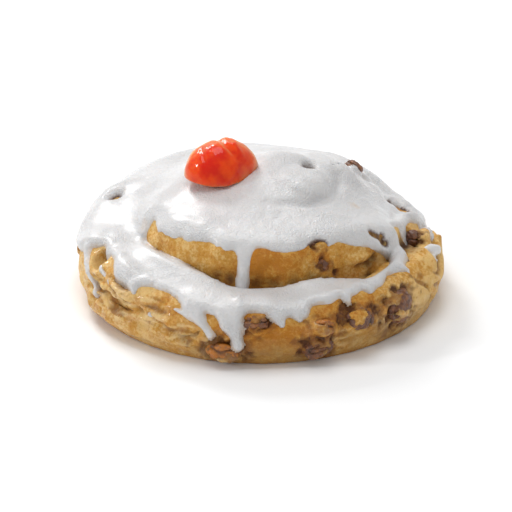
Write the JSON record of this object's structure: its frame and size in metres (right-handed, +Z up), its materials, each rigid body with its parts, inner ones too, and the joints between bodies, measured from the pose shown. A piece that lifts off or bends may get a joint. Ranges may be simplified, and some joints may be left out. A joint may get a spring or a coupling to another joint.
{
  "type": "belgian bun",
  "caption": "Coiled sweet bun with sultanas, a thick coat of dripping white icing and half a glace cherry on top.",
  "frame": {"origin": "middle of the bun's bounding box on its flat underside", "axes": "+Z up from the underside to the cherry, +X to the right seen from the front, the bare patches of the second turn face -Y"},
  "size_m": [0.111, 0.1114, 0.0479],
  "materials": {
    "dough": "baked sweet dough, golden with browned ridges",
    "icing": "set white sugar icing, softly glossy",
    "cherry": "glossy translucent glace cherry",
    "sultana": "wrinkled brown dried fruit, slightly glossy"
  },
  "bodies": {
    "root": {"dough": "dough", "icing": "icing", "cherry": "cherry", "sultana_01": "sultana", "sultana_02": "sultana", "sultana_03": "sultana", "sultana_04": "sultana", "sultana_05": "sultana", "sultana_06": "sultana", "sultana_07": "sultana", "sultana_08": "sultana", "sultana_09": "sultana", "sultana_10": "sultana", "sultana_11": "sultana", "sultana_12": "sultana", "sultana_13": "sultana", "sultana_14": "sultana", "sultana_15": "sultana", "sultana_16": "sultana"}
  },
  "joints": []
}
